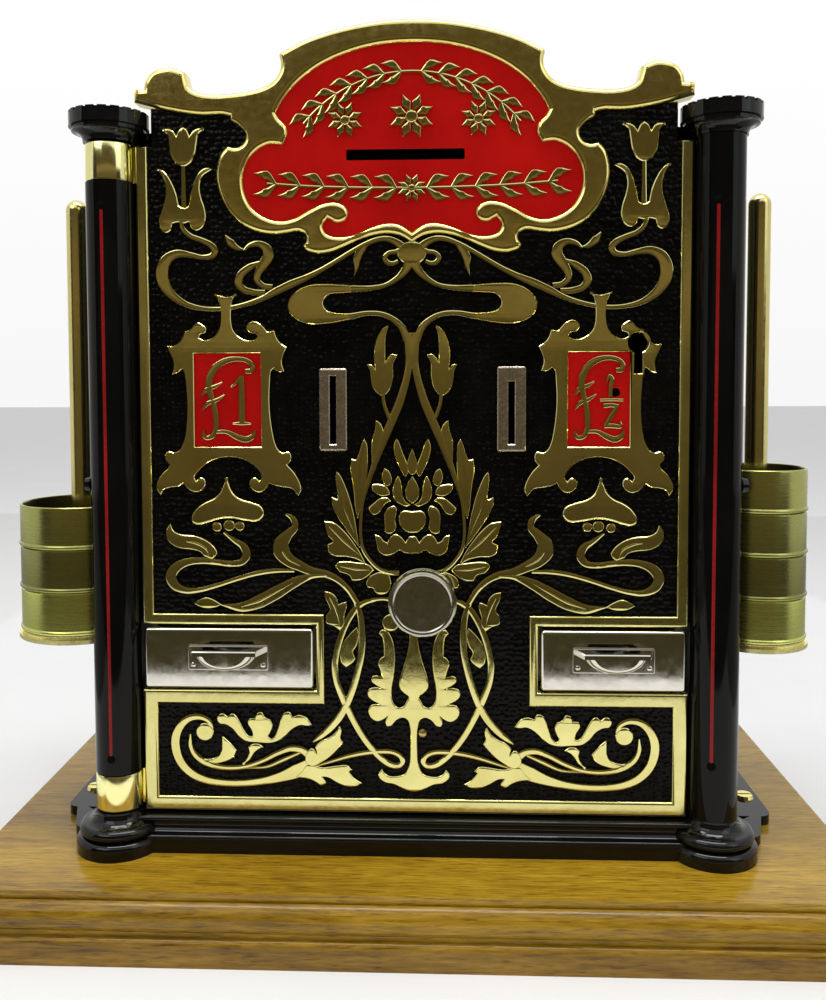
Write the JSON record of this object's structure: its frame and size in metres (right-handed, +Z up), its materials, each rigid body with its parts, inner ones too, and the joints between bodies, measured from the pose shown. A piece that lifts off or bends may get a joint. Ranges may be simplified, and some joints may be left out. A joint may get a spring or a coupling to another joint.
{
  "type": "coin changer",
  "caption": "Counter-top coin changer: hinged brass front with coin slots and a push knob between black columns, change drawers below, cups at the sides, wooden base.",
  "frame": {"origin": "centre of the wooden board's underside", "axes": "+Z up, -Y towards the user in front of the door, +X to the user's right"},
  "size_m": [0.305, 0.172, 0.2983],
  "materials": {
    "board": "varnished, worn",
    "case": "gloss black enamel",
    "column": "gloss black enamel with a thin red line",
    "door": "polished relief over a black stippled ground",
    "enamel": "red enamel",
    "nickel": "nickel plate, polished",
    "cups": "tarnished",
    "steel": "plain",
    "screws": "dull"
  },
  "bodies": {
    "cabinet": {"base_board": "board", "base_plate": "case", "base_screws": "screws", "plinth": "case", "left_column": "column", "right_column": "column", "left_capital": "column", "right_capital": "column", "hinge_pin": "steel", "tie_rod": "steel", "left_side": "case", "right_side": "case", "back_panel": "case", "top_panel": "case", "panel_screws": "steel", "side_bolts": "case", "left_saucer": "screws", "right_saucer": "screws", "left_post": "screws", "right_post": "screws", "drawer_shelf": "steel", "drawer_guides": "steel", "mechanism_deck": "steel", "left_runway": "cups", "right_runway": "cups", "lever_stands": "steel", "pusher_guides": "steel", "gold_box": "cups", "lock_keep": "steel"},
    "door": {"door_plate": "door", "cartouche_enamel": "enamel", "value_enamels": "enamel", "slot_bezels": "nickel", "lock_case": "steel", "plunger_bush": "screws", "plunger_bridge": "steel"},
    "plunger": {"push_knob": "nickel", "plunger_rod": "steel", "plunger_spring": "steel"},
    "bolt": {"lock_bolt": "screws"},
    "left_drawer": {"left_tray": "cups", "left_front": "nickel", "left_pull": "nickel"},
    "right_drawer": {"right_tray": "cups", "right_front": "nickel", "right_pull": "nickel"},
    "pusher": {"coin_pusher": "steel"},
    "left_lever": {"left_lever": "screws", "left_latch": "steel"},
    "right_lever": {"right_lever": "screws", "right_latch": "steel"},
    "left_cup_low": {"left_cup_low": "cups"},
    "left_cup_mid": {"left_cup_mid": "cups"},
    "left_cup_top": {"left_cup_top": "cups"},
    "right_cup_low": {"right_cup_low": "cups"},
    "right_cup_mid": {"right_cup_mid": "cups"},
    "right_cup_high": {"right_cup_high": "cups"},
    "right_cup_top": {"right_cup_top": "cups"}
  },
  "joints": [
    {"name": "door_swing", "type": "hinge", "parent": "cabinet", "child": "door", "pos_m": [-0.101, -0.049, 0.141], "axis": [0, 0, -1], "range_deg": [0, 110]},
    {"name": "plunger_push", "type": "slide", "parent": "door", "child": "plunger", "axis": [0, 1, 0], "range_m": [0, 0.006], "stiffness_N_per_m": 300, "springref_m": -0.004, "deforming": ["plunger_spring"]},
    {"name": "pusher_slide", "type": "slide", "parent": "cabinet", "child": "pusher", "axis": [0, 1, 0], "range_m": [0, 0.006]},
    {"name": "lock_throw", "type": "slide", "parent": "door", "child": "bolt", "axis": [1, 0, 0], "range_m": [0, 0.0044]},
    {"name": "left_drawer_slide", "type": "slide", "parent": "cabinet", "child": "left_drawer", "axis": [0, -1, 0], "range_m": [0, 0.048]},
    {"name": "right_drawer_slide", "type": "slide", "parent": "cabinet", "child": "right_drawer", "axis": [0, -1, 0], "range_m": [0, 0.048]},
    {"name": "left_lever_tip", "type": "hinge", "parent": "cabinet", "child": "left_lever", "pos_m": [-0.0461, 0.0175, 0.107], "axis": [0, 1, 0], "range_deg": [-10, 0]},
    {"name": "right_lever_tip", "type": "hinge", "parent": "cabinet", "child": "right_lever", "pos_m": [0.0526, 0.0175, 0.107], "axis": [0, 1, 0], "range_deg": [0, 10]},
    {"name": "left_cup_low_lift", "type": "slide", "parent": "cabinet", "child": "left_cup_low", "axis": [0, 0, 1], "range_m": [0, 0.03]},
    {"name": "left_cup_mid_lift", "type": "slide", "parent": "left_cup_low", "child": "left_cup_mid", "axis": [0, 0, 1], "range_m": [0, 0.03]},
    {"name": "left_cup_top_lift", "type": "slide", "parent": "left_cup_mid", "child": "left_cup_top", "axis": [0, 0, 1], "range_m": [0, 0.1]},
    {"name": "right_cup_low_lift", "type": "slide", "parent": "cabinet", "child": "right_cup_low", "axis": [0, 0, 1], "range_m": [0, 0.03]},
    {"name": "right_cup_mid_lift", "type": "slide", "parent": "right_cup_low", "child": "right_cup_mid", "axis": [0, 0, 1], "range_m": [0, 0.03]},
    {"name": "right_cup_high_lift", "type": "slide", "parent": "right_cup_mid", "child": "right_cup_high", "axis": [0, 0, 1], "range_m": [0, 0.03]},
    {"name": "right_cup_top_lift", "type": "slide", "parent": "right_cup_high", "child": "right_cup_top", "axis": [0, 0, 1], "range_m": [0, 0.1]}
  ],
  "couplings": [
    {"joint": "pusher_slide", "follows": "plunger_push", "ratio": 1}
  ]
}
